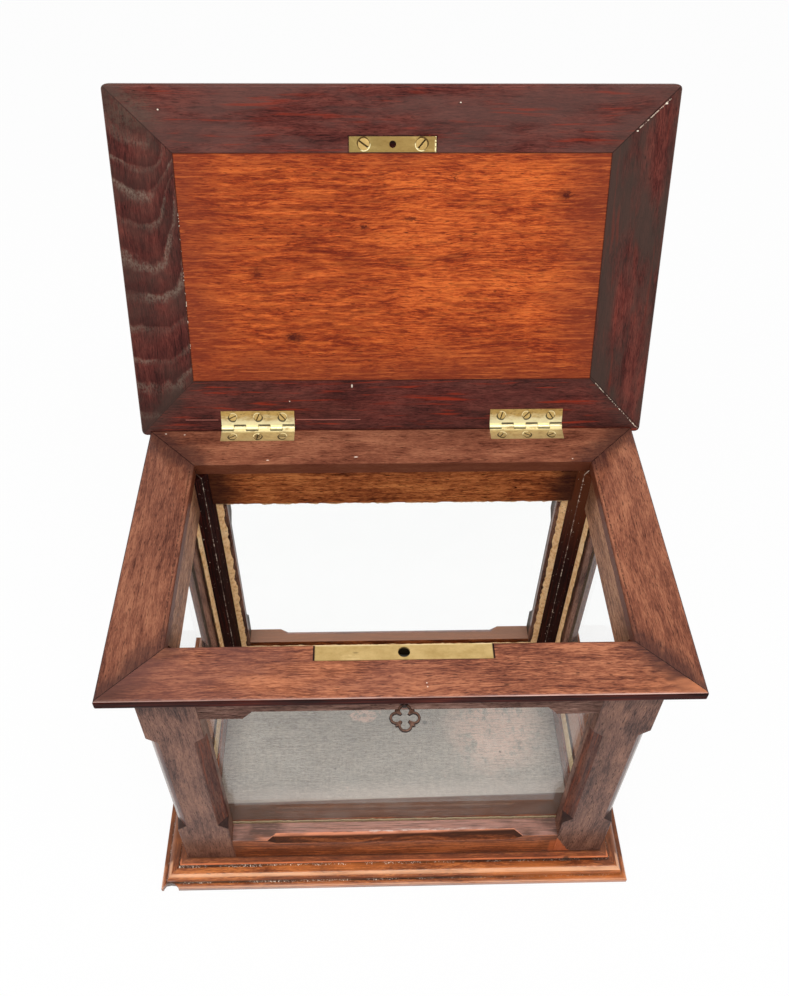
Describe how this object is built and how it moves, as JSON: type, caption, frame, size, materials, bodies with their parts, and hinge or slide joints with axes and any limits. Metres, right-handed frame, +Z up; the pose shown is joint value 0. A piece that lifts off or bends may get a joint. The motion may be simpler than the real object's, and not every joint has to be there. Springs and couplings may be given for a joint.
{
  "type": "tabletop display cabinet",
  "caption": "Glazed wooden tabletop display case: moulded plinth, chamfered corner posts, overhanging top frame and a hinged framed lid that locks with a key.",
  "frame": {"origin": "centre of the carcass footprint on the underside of the plinth", "axes": "+Z up, +Y towards the hinged back, +X to the right seen from the front"},
  "size_m": [0.345, 0.3105, 0.459],
  "materials": {
    "oak": "aged varnish, satin",
    "oak_warm": "aged varnish, satin",
    "mahogany": "french polish, gloss",
    "putty": "dry linseed putty, matt",
    "glass": "clear",
    "brass": "tarnished",
    "iron": "dark, worn",
    "steel": "dull"
  },
  "bodies": {
    "cabinet": {"base_front": "oak_warm", "base_right": "oak_warm", "base_back": "oak_warm", "base_left": "oak_warm", "floor_board": "oak", "plinth_screws": "steel", "post_front_left": "oak", "post_front_right": "oak", "post_back_right": "oak", "post_back_left": "oak", "bottom_rail_front": "oak_warm", "bottom_rail_right": "oak_warm", "bottom_rail_back": "oak_warm", "bottom_rail_left": "oak_warm", "top_rail_front": "oak", "top_rail_right": "oak", "top_rail_back": "oak", "top_rail_left": "oak", "glass_front": "glass", "glass_right": "glass", "glass_back": "glass", "glass_left": "glass", "putty_front": "putty", "putty_right": "putty", "putty_back": "putty", "putty_left": "putty", "top_frame_front": "oak", "top_frame_right": "oak", "top_frame_back": "oak", "top_frame_left": "oak", "lock_plate": "brass", "lock_case": "brass", "lock_drill_pin": "steel", "lock_screws": "brass", "hinge_left_case_leaf": "brass", "hinge_right_case_leaf": "brass", "hinge_left_pin": "brass", "hinge_right_pin": "brass", "case_hinge_screws": "brass"},
    "lid": {"lid_frame_front": "oak", "lid_frame_right": "oak", "lid_frame_back": "oak", "lid_frame_left": "oak", "lid_panel": "mahogany", "strike_plate": "brass", "strike_screws": "brass", "hinge_left_lid_leaf": "brass", "hinge_right_lid_leaf": "brass", "lid_hinge_screws": "brass"},
    "key": {"key": "iron"},
    "lock_bolt": {"lock_bolt": "steel"}
  },
  "joints": [
    {"name": "lid_hinge", "type": "hinge", "parent": "cabinet", "child": "lid", "pos_m": [0, 0.1073, 0.2567], "axis": [1, 0, 0], "range_deg": [0, 111]},
    {"name": "key_turn", "type": "hinge", "parent": "cabinet", "child": "key", "pos_m": [0.0015, -0.078, 0.235], "axis": [0, 1, 0], "range_deg": [-90, 270]},
    {"name": "bolt_slide", "type": "slide", "parent": "cabinet", "child": "lock_bolt", "axis": [1, 0, 0], "range_m": [-0.00175, 0.00525]}
  ],
  "couplings": [
    {"joint": "key_turn", "follows": "bolt_slide", "rad_per_m": 897.5}
  ]
}
